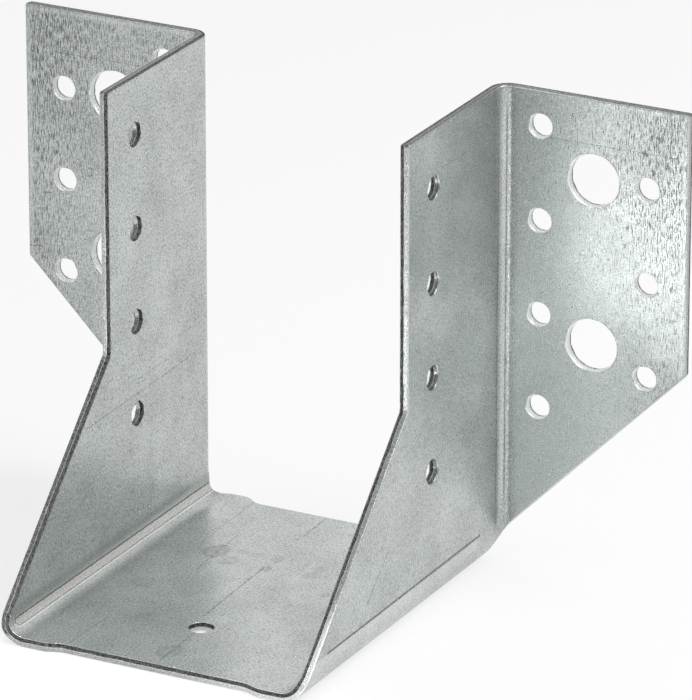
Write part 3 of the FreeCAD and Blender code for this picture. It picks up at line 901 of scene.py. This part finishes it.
class HANGER_OT_sheet(bpy.types.Operator):
    """Build the folded sheet with its cut edges and zinc coating"""
    bl_idname = "hanger.sheet"
    bl_label = "Folded sheet"

    def execute(self, context):
        blank = Blank(context.scene.hanger_sizes)
        sheet = make_sheet(blank)
        sheet.data.materials.append(zinc_material(context.scene.hanger_finish, blank))
        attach(sheet, "root")
        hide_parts("hanger")
        return {"FINISHED"}


FLOOR_HALF = 5.0  # metres
# Camera: place in metres, turn and tilt in degrees, lens and sensor in millimetres
CAMERA_PLACE, CAMERA_TURN, CAMERA_TILT = (0.61863, -1.14317, 0.56063), 27.61, 21.32
CAMERA_LENS, CAMERA_SENSOR = 361.93, 36.0


def area_lamp(name, place, aim, width, height, power, spread=math.pi):
    """Soft rectangular lamp that looks at a point."""
    data = bpy.data.lights.new(name, "AREA")
    data.shape = "RECTANGLE"
    data.size, data.size_y, data.energy, data.spread = width, height, power, spread
    lamp = bpy.data.objects.new(name, data)
    bpy.context.scene.collection.objects.link(lamp)
    lamp.location = place
    lamp.rotation_mode = "QUATERNION"
    lamp.rotation_quaternion = (Vector(aim) - Vector(place)).to_track_quat("-Z", "Y")


def white_to_camera(sh, surface, most, mirrored):
    """A share of white for the camera, another in reflections and through glass, and the surface's own light."""
    path = sh.node("ShaderNodeLightPath", {})
    camera, glossy, through = (sh.wire(path, "Is " + n + " Ray") for n in ("Camera", "Glossy", "Transmission"))
    seen = (camera * most).greater(glossy.greater(through) * mirrored)
    white = sh.node("ShaderNodeEmission", {}, Color=(1.0, 1.0, 1.0, 1.0), Strength=1.0)
    return sh.wire(sh.node("ShaderNodeMixShader", {}, _0=seen, _1=surface, _2=sh.wire(white)))


class HANGER_OT_stage(bpy.types.Operator):
    """Build the pale floor, the soft lamps and the camera"""
    bl_idname = "hanger.stage"
    bl_label = "Studio"

    def execute(self, context):
        scene = context.scene
        studio = scene.hanger_studio
        scene.view_settings.view_transform = "Standard"
        mesh = bpy.data.meshes.new("floor")
        corners = [(x * FLOOR_HALF, y * FLOOR_HALF, 0.0) for x, y in ((-1, -1), (1, -1), (1, 1), (-1, 1))]
        mesh.from_pydata(corners, [], [(0, 1, 2, 3)])
        floor = bpy.data.objects.new("floor", mesh)
        scene.collection.objects.link(floor)
        material = bpy.data.materials.new("floor")
        sh = Shader(material)
        pale = sh.wire(sh.node("ShaderNodeBsdfDiffuse", {}, Color=(0.9, 0.9, 0.9, 1.0)))
        sh.node("ShaderNodeOutputMaterial", {}, Surface=white_to_camera(sh, pale, 0.75, 0.5))
        mesh.materials.append(material)
        scene.world = bpy.data.worlds.new("studio")
        room = Shader(scene.world)
        even = room.wire(room.node("ShaderNodeBackground", {}, Color=(1.0, 1.0, 1.0, 1.0), Strength=studio.sky))
        room.node("ShaderNodeOutputWorld", {}, Surface=white_to_camera(room, even, 1.0, 1.0))
        # The fill lamp lights a pool of floor in front, which shows in the right flange
        area_lamp("key", (0.42, 0.10, 0.62), (0.0, 0.0, 0.04), 0.45, 0.45, studio.key_power)
        area_lamp("fill", (-0.015, -0.17, 0.5), (-0.015, -0.14, 0.0), 0.12, 0.06, studio.fill_power, math.radians(21.0))
        set_camera(scene)
        return {"FINISHED"}


def set_camera(scene):
    """Camera from a place, a turn about the vertical and a downward tilt."""
    turn, tilt = math.radians(CAMERA_TURN), math.radians(CAMERA_TILT)
    lens = bpy.data.cameras.new("camera")
    lens.sensor_width = CAMERA_SENSOR
    lens.lens = CAMERA_LENS
    lens.clip_start, lens.clip_end = 0.1, 50.0
    camera = bpy.data.objects.new("camera", lens)
    scene.collection.objects.link(camera)
    right = Vector((math.cos(turn), math.sin(turn), 0.0))
    up = Vector((-math.sin(turn) * math.sin(tilt), math.cos(turn) * math.sin(tilt), math.cos(tilt)))
    axes = Matrix((right, up, right.cross(up))).transposed().to_4x4()
    camera.matrix_world = Matrix.Translation(CAMERA_PLACE) @ axes
    scene.camera = camera


class HANGER_PT_panel(bpy.types.Panel):
    """Sidebar panel with the hanger's pieces and their sizes"""
    bl_label = "Joist hanger"
    bl_idname = "HANGER_PT_panel"
    bl_space_type = "VIEW_3D"
    bl_region_type = "UI"
    bl_category = "Hanger"

    def draw(self, context):
        boxes = (HANGER_OT_sheet, ("hanger_sizes", "hanger_finish")), (HANGER_OT_stage, ("hanger_studio",))
        for operator, groups in boxes:
            box = self.layout.box()
            box.operator(operator.bl_idname)
            for group in groups:
                values = getattr(context.scene, group)
                for name in values.__annotations__:
                    box.prop(values, name)


GROUPS = {"hanger_sizes": HangerSheetSizes, "hanger_finish": HangerZincFinish, "hanger_studio": HangerStudio}
CLASSES = (*GROUPS.values(), HANGER_OT_sheet, HANGER_OT_stage, HANGER_PT_panel)


def register():
    for kind in CLASSES:
        bpy.utils.register_class(kind)
    for name, group in GROUPS.items():
        setattr(bpy.types.Scene, name, bpy.props.PointerProperty(type=group))


def unregister():
    for name in GROUPS:
        delattr(bpy.types.Scene, name)
    for kind in reversed(CLASSES):
        bpy.utils.unregister_class(kind)


def main():
    register()
    bpy.ops.hanger.stage()
    bpy.ops.hanger.sheet()


if __name__ == "__main__":
    main()
